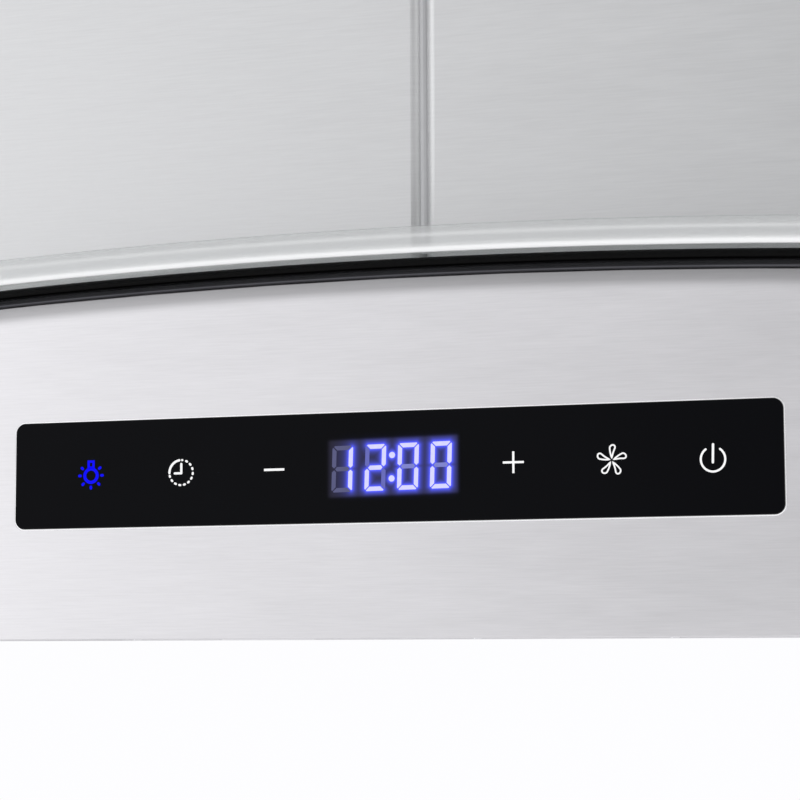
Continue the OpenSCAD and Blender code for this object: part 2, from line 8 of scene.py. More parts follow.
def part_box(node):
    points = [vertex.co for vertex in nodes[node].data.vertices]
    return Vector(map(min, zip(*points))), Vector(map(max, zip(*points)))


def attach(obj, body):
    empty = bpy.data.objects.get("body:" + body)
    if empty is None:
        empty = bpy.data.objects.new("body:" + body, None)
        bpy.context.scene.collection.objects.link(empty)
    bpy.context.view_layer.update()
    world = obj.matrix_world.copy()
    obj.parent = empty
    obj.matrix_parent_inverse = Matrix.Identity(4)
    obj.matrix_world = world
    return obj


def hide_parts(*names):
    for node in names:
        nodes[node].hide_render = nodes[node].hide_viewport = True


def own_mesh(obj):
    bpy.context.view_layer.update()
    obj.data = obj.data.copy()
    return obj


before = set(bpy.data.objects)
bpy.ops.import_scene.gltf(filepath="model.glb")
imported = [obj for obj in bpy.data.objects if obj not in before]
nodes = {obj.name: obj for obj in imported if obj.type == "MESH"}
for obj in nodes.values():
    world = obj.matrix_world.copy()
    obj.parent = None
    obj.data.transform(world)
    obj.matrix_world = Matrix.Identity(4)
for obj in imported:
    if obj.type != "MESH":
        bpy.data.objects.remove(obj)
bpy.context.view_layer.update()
MM = 0.001

# ------------------------------------------------------------------ sizes, read off the CAD

body_lo, body_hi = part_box("body_shell")
glass_lo, glass_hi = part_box("glass_canopy")
touch_lo, touch_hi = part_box("touch_glass")
gasket_lo, gasket_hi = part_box("glass_gasket")
cover_lo, cover_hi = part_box("lower_cover_right")
ARCH_R = 2.4
GLASS_T = 0.008
AXIS_Z = glass_hi.z - ARCH_R - GLASS_T
GASKET_H = 0.0057
PANEL_X, PANEL_Z = 0.0, (touch_lo.z + touch_hi.z) / 2
PANEL_Y = touch_lo.y
NECK = 0.332


# ------------------------------------------------------------------ materials

class Mat:
    """A small helper that builds one node material."""

    def __init__(self, name):
        self.m = bpy.data.materials.new(name)
        self.m.use_nodes = True
        self.t = self.m.node_tree
        self.t.nodes.clear()
        self.out = self.n("ShaderNodeOutputMaterial")
        self.b = self.n("ShaderNodeBsdfPrincipled")
        self.link(self.b.outputs[0], self.out.inputs["Surface"])
        self.co = self.n("ShaderNodeTexCoord").outputs["Object"]

    def n(self, kind, **k):
        node = self.t.nodes.new(kind)
        for a, v in k.items():
            setattr(node, a, v)
        return node

    def link(self, a, b):
        self.t.links.new(a, b)

    def set(self, **k):
        names = {"color": "Base Color", "metal": "Metallic", "rough": "Roughness", "spec": "Specular IOR Level", "ior": "IOR",
                 "trans": "Transmission Weight", "coat": "Coat Weight", "coat_rough": "Coat Roughness", "aniso": "Anisotropic",
                 "emit": "Emission Color", "strength": "Emission Strength", "alpha": "Alpha", "rot": "Anisotropic Rotation"}
        for a, v in k.items():
            s = self.b.inputs[names[a]]
            s.default_value = (*v, 1) if a in ("color", "emit") else v
        return self

    def noise(self, scale, size=1.0, detail=3.0, rough=0.55, off=(0, 0, 0)):
        mp = self.n("ShaderNodeMapping")
        mp.inputs["Scale"].default_value = scale
        mp.inputs["Location"].default_value = off
        self.link(self.co, mp.inputs["Vector"])
        tx = self.n("ShaderNodeTexNoise")
        tx.inputs["Scale"].default_value = size
        tx.inputs["Detail"].default_value = detail
        tx.inputs["Roughness"].default_value = rough
        self.link(mp.outputs[0], tx.inputs["Vector"])
        return tx.outputs[0]

    def range(self, value, lo, hi, a=0.3, b=0.7):
        r = self.n("ShaderNodeMapRange")
        r.inputs["From Min"].default_value = a
        r.inputs["From Max"].default_value = b
        r.inputs["To Min"].default_value = lo
        r.inputs["To Max"].default_value = hi
        self.link(value, r.inputs["Value"])
        return r.outputs[0]

    def ramp(self, value, *stops):
        r = self.n("ShaderNodeValToRGB")
        e = r.color_ramp.elements
        while len(e) < len(stops):
            e.new(0.5)
        for s, (p, c) in zip(e, stops):
            s.position = p
            s.color = (*c, 1)
        self.link(value, r.inputs["Fac"])
        return r.outputs["Color"]

    def math(self, op, a, b):
        m = self.n("ShaderNodeMath", operation=op)
        for i, v in enumerate((a, b)):
            if hasattr(v, "default_value") and not isinstance(v, (int, float)):
                self.link(v, m.inputs[i])
            else:
                m.inputs[i].default_value = v
        return m.outputs[0]

    def bump(self, height, strength=0.2, distance=0.0002):
        b = self.n("ShaderNodeBump")
        b.inputs["Strength"].default_value = strength
        b.inputs["Distance"].default_value = distance
        self.link(height, b.inputs["Height"])
        self.link(b.outputs[0], self.b.inputs["Normal"])

    def over_arch(self, lo, hi):
        """0 to 1 as the distance from the arch's axis runs from ARCH_R + lo to ARCH_R + hi."""
        sub = self.n("ShaderNodeVectorMath", operation="SUBTRACT")
        sub.inputs[1].default_value = (0, 0, AXIS_Z)
        self.link(self.co, sub.inputs[0])
        flat = self.n("ShaderNodeVectorMath", operation="MULTIPLY")
        flat.inputs[1].default_value = (1, 0, 1)
        self.link(sub.outputs[0], flat.inputs[0])
        length = self.n("ShaderNodeVectorMath", operation="LENGTH")
        self.link(flat.outputs[0], length.inputs[0])
        return self.range(self.math("SUBTRACT", length.outputs["Value"], ARCH_R), 0.0, 1.0, lo, hi)

    def times(self, a, b):
        mul = self.n("ShaderNodeMix", data_type="RGBA", blend_type="MULTIPLY")
        mul.inputs[0].default_value = 1.0
        self.link(a, mul.inputs[6])
        self.link(b, mul.inputs[7])
        return mul.outputs[2]

    def to(self, socket, name):
        self.link(socket, self.b.inputs[name])
        return self


def shade(c, k):
    return tuple(min(1.0, v * k) for v in c)


def brushed(name, base, grain, rough=0.3, aniso=0.6, contrast=0.06, bump=0.25, fine=1900.0, tangent="Z", soft=1.0, painted_shadow_under_seal=False):
    """Brushed sheet steel; grain is the axis the brush ran along: 'H' level on upright walls, 'X' or 'Y' on level sheets."""
    a = 75.0
    stretch = {"H": (a, a, fine), "X": (a, fine, a), "Y": (fine, a, a)}[grain]
    blotch = {"H": (34, 34, 260), "X": (34, 260, 34), "Y": (260, 34, 34)}[grain]
    cloud = {"H": (16, 16, 50), "X": (16, 50, 16), "Y": (50, 16, 16)}[grain]
    m = Mat(name).set(metal=1.0, aniso=aniso, rot=0.25 if grain == "H" else 0.0)
    lines = m.noise(stretch, detail=4.0, rough=0.62)
    bands = m.noise(blotch, detail=3.0, off=(3.1, 1.7, 0.4))
    clouds = m.noise(cloud, detail=2.0, off=(0.3, 5.2, 2.4))
    mixed = m.math("ADD", m.math("MULTIPLY", lines, 0.44), m.math("ADD", m.math("MULTIPLY", bands, 0.26 * soft), m.math("MULTIPLY", clouds, 0.3)))
    colour = m.ramp(mixed, (0.28, shade(base, 1 - contrast)), (0.5, base), (0.72, shade(base, 1 + contrast)))
    # painted shadow: the steel colour is darkened in a band just under the rubber seal, standing in for the seal's
    # shadow and blurred reflection
    if painted_shadow_under_seal:
        near = m.over_arch(-GASKET_H - 0.0065, -GASKET_H)
        painted_shadow_steps = ((0.0, 1.0), (0.13, 0.96), (0.23, 0.89), (0.33, 0.78), (0.42, 0.69), (0.52, 0.59), (0.62, 0.56), (0.81, 0.515), (1.0, 0.50))
        colour = m.times(colour, m.ramp(near, *[(at, (v, v * 0.99, v)) for at, v in painted_shadow_steps]))
    m.to(colour, "Base Color")
    m.to(m.range(mixed, rough - 0.06, rough + 0.08), "Roughness")
    m.bump(lines, bump, 0.00006)
    tg = m.n("ShaderNodeTangent", direction_type="RADIAL", axis=tangent)
    m.link(tg.outputs[0], m.b.inputs["Tangent"])
    return m.m


def surface(name, base, metal=0.0, rough=0.5, vary=0.05, grain=900.0, bump=0.12, depth=0.00008, rough_vary=0.07, spec=0.5, scratch=0.0, coat=0.0):
    """A moulded, cast or plated surface: fine grain, slow colour drift and a little wear in the gloss."""
    m = Mat(name).set(metal=metal, spec=spec, coat=coat)
    fine = m.noise((grain, grain, grain), detail=2.0)
    slow = m.noise((26, 26, 26), detail=3.0, off=(1.3, 0.2, 4.0))
    m.to(m.ramp(slow, (0.3, shade(base, 1 - vary)), (0.7, shade(base, 1 + vary))), "Base Color")
    both = m.math("ADD", m.math("MULTIPLY", slow, 0.6), m.math("MULTIPLY", fine, 0.4))
    m.to(m.range(both, rough - rough_vary, rough + rough_vary), "Roughness")
    m.bump(fine, bump, depth)
    return m.m


def spangle(name, base, rough=0.42):
    """Galvanised sheet with zinc crystals."""
    m = Mat(name).set(metal=1.0)
    v = m.n("ShaderNodeTexVoronoi")
    v.inputs["Scale"].default_value = 120.0
    m.link(m.co, v.inputs["Vector"])
    grey = m.n("ShaderNodeRGBToBW")
    m.link(v.outputs["Color"], grey.inputs[0])
    m.to(m.ramp(grey.outputs[0], (0.2, shade(base, 0.9)), (0.8, shade(base, 1.08))), "Base Color")
    m.to(m.range(grey.outputs[0], rough - 0.08, rough + 0.1, 0.2, 0.8), "Roughness")
    m.bump(m.noise((500, 500, 500)), 0.08, 0.00005)
    return m.m


def clear_glass(name):
    """Thin clear sheet: light goes straight through, and a coat carries its gloss."""
    m = Mat(name).set(trans=1.0, ior=1.0, rough=0.0, spec=0.5, coat=1.0, coat_rough=0.01)
    slow = m.noise((5, 5, 5), detail=2.0)
    m.to(m.ramp(slow, (0.3, (0.940, 0.970, 0.961)), (0.7, (0.952, 0.978, 0.970))), "Base Color")
    return m.m


def ground_edge_and_painted_highlight(name):
    """The ground and polished edge: satin white along the lower arris, clearer above, by its height in the sheet; these
    bands are partly the ground finish and partly painted highlight, and the edge's glow is painted light.
    """
    m = Mat(name).set(ior=1.0, rough=0.3, spec=0.4, coat=0.4, coat_rough=0.06)
    t = m.over_arch(0.0, GLASS_T)
    wave = m.noise((9, 9, 9), detail=2.0)
    def grey(v):
        return (v, v, v)
    # transmission by height: the white lower band and the faint band above it copy highlights, partly ground finish and
    # partly painted highlight
    m.to(m.ramp(t, (0.0, grey(0.3)), (0.03, grey(0.0)), (0.12, grey(0.0)), (0.21, grey(0.48)), (0.33, grey(0.70)), (0.50, grey(0.70)),
                (0.61, grey(0.34)), (0.71, grey(0.70)), (0.80, grey(0.74)), (0.965, grey(0.74)), (0.985, grey(0.4))), "Transmission Weight")
    tone = m.ramp(t, (0.0, grey(0.78)), (0.03, grey(1.0)), (0.95, grey(1.0)), (0.985, grey(0.5)))
    tint = m.ramp(wave, (0.3, (0.955, 0.965, 0.965)), (0.7, (0.985, 0.99, 0.99)))
    m.to(m.times(tint, tone), "Base Color")
    # painted light: the edge glows, brightest along the white lower band, standing in for the highlight there
    m.b.inputs["Emission Color"].default_value = (1, 1, 1, 1)
    m.to(m.ramp(t, (0.0, grey(0.04)), (0.03, grey(0.17)), (0.11, grey(0.16)), (0.19, grey(0.05)), (0.95, grey(0.05)), (1.0, grey(0.0))), "Emission Strength")
    return m.m


STEEL = (0.80, 0.80, 0.81)
M = {
    "face": brushed("steel_face", STEEL, "H", rough=0.36, aniso=0.5, contrast=0.085, bump=0.2, painted_shadow_under_seal=True),
    "cover": brushed("steel_cover", (0.75, 0.755, 0.76), "H", rough=0.42, aniso=0.25, contrast=0.075, bump=0.2, fine=1500.0),
    "cover_up": brushed("steel_cover_upper", (0.75, 0.755, 0.76), "H", rough=0.43, aniso=0.25, contrast=0.075, bump=0.2, fine=1500.0),
    "under": brushed("steel_underside", (0.60, 0.60, 0.61), "X", rough=0.34, aniso=0.5, contrast=0.06, bump=0.2, tangent="Y"),
    "filter": brushed("steel_filter", (0.58, 0.58, 0.59), "Y", rough=0.3, aniso=0.5, contrast=0.06, bump=0.2, tangent="X"),
    "zinc": spangle("zinc_sheet", (0.60, 0.61, 0.63)),
    "bright": surface("bright_steel", (0.82, 0.82, 0.84), metal=1.0, rough=0.16, vary=0.03, bump=0.04, rough_vary=0.05),
    "polished": surface("polished_steel", (0.86, 0.86, 0.88), metal=1.0, rough=0.10, vary=0.02, bump=0.03, rough_vary=0.04),
    "dark_sheet": surface("dark_sheet", (0.24, 0.245, 0.26), metal=1.0, rough=0.4, vary=0.06),
    "rubber": surface("black_rubber", (0.0035, 0.0035, 0.0045), rough=0.36, vary=0.2, grain=1400.0, bump=0.14, rough_vary=0.1, spec=0.16),
    "bead_grey": surface("seam_bead_steel", (0.57, 0.575, 0.585), metal=1.0, rough=0.48, vary=0.05, grain=600.0),
    "rubber_soft": surface("seal_rubber", (0.02, 0.02, 0.022), rough=0.55, vary=0.2, grain=1400.0, bump=0.2),
    "plastic": surface("dark_plastic", (0.035, 0.037, 0.042), rough=0.5, vary=0.08, grain=1500.0, bump=0.2, spec=0.4),
    "grip": surface("grip_plastic", (0.03, 0.031, 0.035), rough=0.38, vary=0.08, grain=1800.0, bump=0.18, spec=0.45),
    "pcb": surface("circuit_board", (0.02, 0.16, 0.075), rough=0.35, vary=0.12, grain=420.0, bump=0.15),
    "brass": surface("brass", (0.72, 0.55, 0.25), metal=1.0, rough=0.3, vary=0.06),
    "cast": surface("cast_aluminium", (0.60, 0.61, 0.63), metal=1.0, rough=0.42, vary=0.06, grain=700.0, bump=0.3, depth=0.00015),
    "motor": surface("motor_steel", (0.36, 0.37, 0.40), metal=1.0, rough=0.36, vary=0.08),
    "cream": surface("cream_plastic", (0.72, 0.71, 0.66), rough=0.42, vary=0.04),
    "flap": surface("flap_aluminium", (0.66, 0.67, 0.69), metal=1.0, rough=0.34, vary=0.05),
    "glass": clear_glass("tempered_glass"),
    "glass_edge": ground_edge_and_painted_highlight("tempered_glass_edge"),
}


def touch_black():
    m = Mat("touch_black").set(spec=0.07, metal=0.0)
    slow = m.noise((14, 14, 14), detail=2.0)
    m.to(m.ramp(slow, (0.3, (0.0012, 0.0013, 0.0024)), (0.7, (0.0016, 0.0018, 0.0031))), "Base Color")
    smear = m.noise((60, 60, 220), detail=4.0, off=(2.0, 0, 0))
    m.to(m.range(smear, 0.05, 0.09), "Roughness")
    return m.m


def glow(name, color, strength, dark=(0.02, 0.02, 0.03)):
    m = Mat(name).set(color=dark, emit=color, rough=0.4, spec=0.1)
    n = m.noise((700, 700, 700), detail=2.0)
    m.to(m.range(n, strength * 0.96, strength * 1.04), "Emission Strength")
    return m.m


def seal_rubber():
    m = Mat("seal_strip_rubber_painted_highlight").set(spec=0.09)
    t = m.over_arch(-GASKET_H, 0.0)
    def grey(v):
        return (v, v, v * 1.12)
    slow = m.noise((30, 30, 30), detail=3.0)
    # painted highlight and sheen: a light line near the seal's bottom edge and a lighter lower half, set by height,
    # with the top left black
    both = m.ramp(t, (0.0, grey(0.03)), (0.03, grey(0.06)), (0.075, grey(0.12)), (0.12, grey(0.028)), (0.20, grey(0.016)), (0.40, grey(0.014)), (0.48, grey(0.0012)), (1.0, grey(0.0012)))
    m.to(m.times(both, m.ramp(slow, (0.3, (0.8, 0.8, 0.8)), (0.7, (1, 1, 1)))), "Base Color")
    fine = m.noise((1400, 1400, 1400), detail=2.0)
    m.to(m.range(fine, 0.3, 0.44), "Roughness")
    m.bump(fine, 0.12, 0.00006)
    return m.m


M["seal"] = seal_rubber()
M["touch"] = touch_black()
M["white_icon"] = glow("icon_white", (1.0, 1.0, 1.0), 0.98)
M["blue_icon"] = glow("icon_blue", (0.0, 0.0, 1.0), 1.0, dark=(0.0, 0.0, 0.02))
M["lit"] = glow("segment_lit", (0.67, 0.66, 1.0), 1.03)
M["unlit"] = glow("segment_unlit", (0.085, 0.088, 0.19), 1.0)
M["unlit_near"] = glow("segment_unlit_near", (0.12, 0.13, 0.46), 1.0)
M["unlit_mid"] = glow("segment_unlit_mid", (0.20, 0.22, 0.60), 1.0)


def lens_material():
    m = Mat("lamp_lens").set(color=(0.9, 0.9, 0.87), rough=0.35, spec=0.5, emit=(1.0, 0.965, 0.9), coat=0.3)
    dots = m.n("ShaderNodeTexVoronoi")
    dots.inputs["Scale"].default_value = 420.0
    m.link(m.co, dots.inputs["Vector"])
    m.to(m.range(dots.outputs["Distance"], 0.5, 0.28, 0.0, 0.8), "Emission Strength")
    m.bump(dots.outputs["Distance"], 0.3, 0.0003)
    return m.m


M["lens"] = lens_material()
M["rim"] = surface("polished_rim_painted_glow", (0.93, 0.93, 0.94), metal=1.0, rough=0.16, vary=0.02, bump=0.03, rough_vary=0.04)
# painted light: the metal lip glows a little, brightening it as if it caught the light
for socket, value in (("Emission Color", (1, 1, 1, 1)), ("Emission Strength", 0.2)):
    M["rim"].node_tree.nodes["Principled BSDF"].inputs[socket].default_value = value

LOOK = {
    "ceiling_plate": "zinc", "upper_posts": "zinc", "upper_braces": "zinc", "upper_cover_left": "cover_up", "upper_cover_right": "cover_up",
    "upper_seam_strips": "cover_up", "frame_screws": "bright", "body_shell": "face", "bottom_panel": "under", "bottom_screws": "polished",
    "glass_canopy": "glass", "glass_gasket": "rubber", "glass_washers": "rubber_soft", "glass_buttons": "polished", "neck_frame": "zinc",
    "chimney_seal": "rubber_soft", "touch_glass": "touch", "display_module": "plastic", "touch_board": "pcb", "touch_pads": "brass",
    "control_housing": "plastic", "lower_posts": "zinc", "lower_braces": "zinc", "blower_box": "zinc", "blower_flange": "zinc",
    "scroll_left": "plastic", "scroll_right": "plastic", "inlet_ring": "plastic", "motor_bracket": "zinc", "motor_can": "motor",
    "motor_end_caps": "cast", "motor_shaft": "bright", "impeller": "plastic", "impeller_nut": "bright", "capacitor": "cream",
    "power_box": "plastic", "power_box_lid": "plastic", "power_board": "pcb", "cable_gland": "rubber_soft", "collar_flange": "zinc",
    "duct_collar": "zinc", "damper_rod": "bright", "damper_flap_left": "flap", "damper_flap_right": "flap", "lamp_bezels": "polished",
    "lamp_lenses": "lens", "lamp_cans": "cast", "lower_cover_left": "cover", "lower_cover_right": "cover", "lower_seam_strips": "cover",
    "lower_cover_screws": "bright", "filter_frame_left": "filter", "filter_baffles_left": "filter", "filter_frame_right": "filter",
    "filter_baffles_right": "filter", "latch_left": "grip", "latch_right": "grip", "latch_spring_left": "bright", "latch_spring_right": "bright",
}
BEVEL = {  # width of the rounded arrises, mm
    "body_shell": 0.35, "touch_glass": 0.3, "lower_cover_left": 0.25, "lower_cover_right": 0.25, "upper_cover_left": 0.25,
    "upper_cover_right": 0.25, "bottom_panel": 0.3, "filter_frame_left": 0.35, "filter_frame_right": 0.35, "filter_baffles_left": 0.3,
    "filter_baffles_right": 0.3, "latch_left": 0.5, "latch_right": 0.5, "lamp_bezels": 0.15, "glass_buttons": 0.25, "bottom_screws": 0.15,
    "lower_cover_screws": 0.15, "control_housing": 0.5, "power_box": 0.8, "power_box_lid": 0.6, "capacitor": 0.6, "ceiling_plate": 0.3,
    "blower_box": 0.4, "lamp_cans": 0.2, "damper_flap_left": 0.15, "damper_flap_right": 0.15,
}


def soften(ob, width):
    w = ob.modifiers.new("weld", "WELD")
    w.merge_threshold = 1e-6
    b = ob.modifiers.new("arris", "BEVEL")
    b.width = width * MM
    b.segments = 2
    b.limit_method = "ANGLE"
    b.angle_limit = math.radians(40)
    b.harden_normals = False
    b.use_clamp_overlap = True
    b.miter_outer = "MITER_ARC"


for name, ob in nodes.items():
    ob.data.materials.clear()
    ob.data.materials.append(M[LOOK[name]])
    if name in BEVEL:
        soften(ob, BEVEL[name])


# ------------------------------------------------------------------ mesh helpers

def make(name, verts, faces, mat, body="hood", smooth=False, flip_fix=True):
    me = bpy.data.meshes.new(name)
    me.from_pydata([tuple(v) for v in verts], [], faces)
    me.update()
    if flip_fix:
        bm = bmesh.new()
        bm.from_mesh(me)
        bmesh.ops.remove_doubles(bm, verts=bm.verts, dist=1e-7)
        bmesh.ops.recalc_face_normals(bm, faces=bm.faces)
        bm.to_mesh(me)
        bm.free()
    me.materials.append(mat)
    if smooth:
        me.shade_smooth()
    ob = bpy.data.objects.new(name, me)
    bpy.context.scene.collection.objects.link(ob)
    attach(ob, body)
    return ob


def arch_z(x, t):
    return AXIS_Z + math.sqrt((ARCH_R + t) ** 2 - x * x)


def rounded_loop(w, d, r, inset, step=0.008, nc=10):
    """Plan loop of a rounded rectangle, anticlockwise; the same count of points whatever the inset."""
    hw, hd, rr = w / 2 - inset, d / 2 - inset, max(r - inset, 0.0001)
    nx, ny = max(2, int((w - 2 * r) / step)), max(2, int((d - 2 * r) / step))
    pts = []
    corners = [(hw - rr, hd - rr, 0), (-hw + rr, hd - rr, 90), (-hw + rr, -hd + rr, 180), (hw - rr, -hd + rr, 270)]
    for k, (cx, cy, a0) in enumerate(corners):
        arc = [(cx + rr * math.cos(math.radians(a0 + 90 * i / nc)), cy + rr * math.sin(math.radians(a0 + 90 * i / nc))) for i in range(nc + 1)]
        pts += arc
        nxt = corners[(k + 1) % 4]
        a1 = nxt[2]
        ex, ey = nxt[0] + rr * math.cos(math.radians(a1)), nxt[1] + rr * math.sin(math.radians(a1))
        n = nx if k % 2 == 0 else ny
        sx, sy = arc[-1]
        pts += [(sx + (ex - sx) * i / n, sy + (ey - sy) * i / n) for i in range(1, n)]
    return pts


def circle_loop(cx, cy, r, n=40):
    return [(cx + r * math.cos(2 * math.pi * i / n), cy + r * math.sin(2 * math.pi * i / n)) for i in range(n)]


# ------------------------------------------------------------------ the glass, with ground and polished edges

def build_glass():
    w, d = glass_hi.x - glass_lo.x, glass_hi.y - glass_lo.y
    bm = bmesh.new()
    e = 0.0024

    def profile(e, n=7):
        lower = [(e * (1 - math.sin(math.pi / 2 * i / n)), e * (1 - math.cos(math.pi / 2 * i / n))) for i in range(n + 1)]
        return lower + [(o, GLASS_T - t) for o, t in reversed(lower)]

    def wall(loop_at, prof):
        rings = []
        for o, t in prof:
            rings.append([bm.verts.new((x, y, t)) for x, y in loop_at(o)])
        for a, b in zip(rings, rings[1:]):
            for i in range(len(a)):
                j = (i + 1) % len(a)
                bm.faces.new((a[i], a[j], b[j], b[i])).material_index = 1
        return rings[0], rings[-1]

    prof = profile(e)
    small = [(0.0, 0.0), (0.0, GLASS_T)]
    ends = [wall(lambda o: rounded_loop(w, d, 0.022, o), prof),
            wall(lambda o: rounded_loop(NECK, NECK, 0.005, -o), profile(0.0012, 4))]
    for sx in (-1, 1):
        for sy in (-1, 1):
            ends.append(wall(lambda o, sx=sx, sy=sy: circle_loop(sx * 0.262, sy * 0.2, 0.006), small))
    for side in (0, 1):
        edges = []
        for lo_hi in ends:
            ring = lo_hi[side]
            for i in range(len(ring)):
                edges.append(bm.edges.get((ring[i], ring[(i + 1) % len(ring)])))
        bmesh.ops.triangle_fill(bm, use_beauty=True, use_dissolve=False, edges=edges, normal=(0, 0, 1 if side else -1))
    for k in range(-44, 45):
        geom = bm.verts[:] + bm.edges[:] + bm.faces[:]
        bmesh.ops.bisect_plane(bm, geom=geom, dist=1e-7, plane_co=(k * 0.01 + 0.0003, 0, 0), plane_no=(1, 0, 0))
    bmesh.ops.recalc_face_normals(bm, faces=bm.faces)
    for v in bm.verts:
        v.co.z = arch_z(v.co.x, v.co.z)
    me = bpy.data.meshes.new("glass_sheet")
    bm.to_mesh(me)
    bm.free()
    me.materials.append(M["glass"])
    me.materials.append(M["glass_edge"])
    me.shade_smooth()
    # true arch normals on the two broad faces, whatever their triangles
    normals = []
    for v in me.vertices:
        radial = Vector((v.co.x, 0, v.co.z - AXIS_Z))
        t = radial.length - ARCH_R
        radial.normalize()
        normals.append(-radial if t < 5e-6 else radial if t > GLASS_T - 5e-6 else v.normal.copy())
    me.normals_split_custom_set_from_vertices(normals)
    ob = bpy.data.objects.new("glass_sheet", me)
    bpy.context.scene.collection.objects.link(ob)
    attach(ob, "hood")
    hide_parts("glass_canopy")
    return ob


glass = build_glass()


# ------------------------------------------------------------------ the rubber seal, extruded with two beads and a lip

def build_gasket():
    w, d = gasket_hi.x - gasket_lo.x, gasket_hi.y - gasket_lo.y
    prof = [(12.0, 0.0), (12.0, 5.68), (2.2, 5.68), (1.2, 5.6), (0.55, 5.35), (0.2, 4.9), (0.08, 4.3), (0.1, 3.7), (0.3, 3.2),
            (0.75, 2.85), (1.25, 2.72), (1.3, 2.5), (0.85, 2.32), (0.4, 2.0), (0.12, 1.55), (0.02, 1.1), (0.1, 0.6), (0.4, 0.22), (1.0, 0.02)]
    verts, faces = [], []
    rings = []
    for o, t in prof:
        loop = rounded_loop(w, d, 0.003, o * MM, step=0.006, nc=6)
        rings.append(len(verts))
        verts += [(x, y, arch_z(x, t * MM - GASKET_H)) for x, y in loop]
        n = len(loop)
    for a in range(len(prof)):
        b = (a + 1) % len(prof)
        for i in range(n):
            j = (i + 1) % n
            faces.append((rings[a] + i, rings[a] + j, rings[b] + j, rings[b] + i))
    ob = make("seal_strip", verts, faces, M["seal"], smooth=True)
    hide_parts("glass_gasket")
    return ob


gasket = build_gasket()

# ------------------------------------------------------------------ signs and digits on the touch glass

def panel_point(u, v, lift):
    u = u + 0.8 * (1 - (u / 128.0) ** 2)
    return (PANEL_X + u * MM, PANEL_Y - lift * MM, PANEL_Z + (v - 0.1) * MM)


def strip(path, width, closed=False, taper=None):
    """A flat ribbon along a 2D path, with round ends."""
    n = len(path)
    verts, faces = [], []
    for i in range(n):
        if closed:
            a, b = path[i - 1], path[(i + 1) % n]
        else:
            a, b = path[max(i - 1, 0)], path[min(i + 1, n - 1)]
        dx, dy = b[0] - a[0], b[1] - a[1]
        l = math.hypot(dx, dy) or 1
        nx, ny = -dy / l * width / 2, dx / l * width / 2
        verts += [(path[i][0] + nx, path[i][1] + ny), (path[i][0] - nx, path[i][1] - ny)]
    for i in range(n if closed else n - 1):
        j = (i + 1) % n
        faces.append([2 * i, 2 * i + 1, 2 * j + 1, 2 * j])
    if not closed:
        for end in (0, n - 1):
            c = path[end]
            o = path[1] if end == 0 else path[n - 2]
            a0 = math.atan2(c[1] - o[1], c[0] - o[0])
            left, right = 2 * end, 2 * end + 1
            first = len(verts)
            k = 7
            for q in range(1, k):
                a = a0 + math.pi / 2 - math.pi * q / k
                verts.append((c[0] + width / 2 * math.cos(a), c[1] + width / 2 * math.sin(a)))
            loop = [left if end else right] + list(range(first, first + k - 1)) + [right if end else left]
            faces.append(loop)
    return verts, faces


def polygon(points):
    return list(points), [list(range(len(points)))]


def plate(name, shapes, cu, cv, mat, lift=0.05, thick=0.045):
    """Extrudes flat 2D shapes, in mm about (cu, cv) on the panel, into thin closed plates."""
    verts, faces = [], []
    for vs, fs in shapes:
        base, n = len(verts), len(vs)
        verts += [panel_point(cu + u, cv + v, lift) for u, v in vs]
        verts += [panel_point(cu + u, cv + v, lift - thick) for u, v in vs]
        count = {}
        for f in fs:
            for i in range(len(f)):
                key = (f[i], f[(i + 1) % len(f)])
                count[key] = count.get(key, 0) + 1
        for f in fs:
            faces.append([base + i for i in f])
            faces.append([base + n + i for i in reversed(f)])
        for (a, b) in count:
            if (b, a) not in count:
                faces.append([base + b, base + a, base + n + a, base + n + b])
    return make(name, verts, faces, mat)


def arc(r, a0, a1, n=24, cx=0.0, cy=0.0):
    return [(cx + r * math.cos(math.radians(a0 + (a1 - a0) * i / n)), cy + r * math.sin(math.radians(a0 + (a1 - a0) * i / n))) for i in range(n + 1)]


def bulb_shapes():
    s = [strip(arc(2.08, 0, 360, 40)[:-1], 1.0, closed=True)]
    # the cap, with its small window left open
    s += [polygon([(-1.2, 2.2), (-0.42, 2.2), (-0.42, 4.75), (-1.2, 4.75)]), polygon([(0.42, 2.2), (1.2, 2.2), (1.2, 4.75), (0.42, 4.75)]),
          polygon([(-0.42, 4.0), (0.42, 4.0), (0.42, 4.75), (-0.42, 4.75)]), polygon([(-0.42, 2.2), (0.42, 2.2), (0.42, 2.85), (-0.42, 2.85)])]
    for a in (180, 0, 142, 38, 225, 315, 270):
        c, d = math.cos(math.radians(a)), math.sin(math.radians(a))
        s.append(strip([(3.5 * c, 3.5 * d), (3.9 * c, 3.9 * d)], 0.86))
    return s


def clock_shapes():
    s = [strip(arc(3.84, 99, 181, 22), 0.7)]
    n = 12
    for k in range(n):
        mid = 85 - k * (85 + 164) / (n - 1)
        half = 2.6 if k else 0.6
        s.append(strip(arc(3.84, mid + half, mid - half, 4), 0.66))
    s += [strip([(0.05, -0.2), (0.05, 2.62)], 0.72), strip([(0.05, -0.2), (-2.1, -0.2)], 0.68)]
    return s


def petal(a):
    """One narrow teardrop outline, its point at the middle, leaning a little as it widens."""
    r0, rc, w = 0.55, 3.66, 0.78
    half = math.degrees(math.acos(w / (rc - r0)))
    tip = [(rc + w * math.cos(math.radians(g)), w * math.sin(math.radians(g))) for g in np.linspace(-180 + half, 180 - half, 17)]
    side = [(r0 + (tip[0][0] - r0) * k / 6, tip[0][1] * k / 6) for k in range(6)]
    outline = side + tip + [(x, -y) for x, y in reversed(side[1:])]
    out = []
    for x, y in outline:
        y += 0.22 * math.sin(math.pi * min(1.0, max(0.0, (x - r0) / (rc + w - r0))))
        c, d = math.cos(math.radians(a)), math.sin(math.radians(a))
        out.append((x * c - y * d, x * d + y * c))
    return strip(out, 0.45, closed=True)


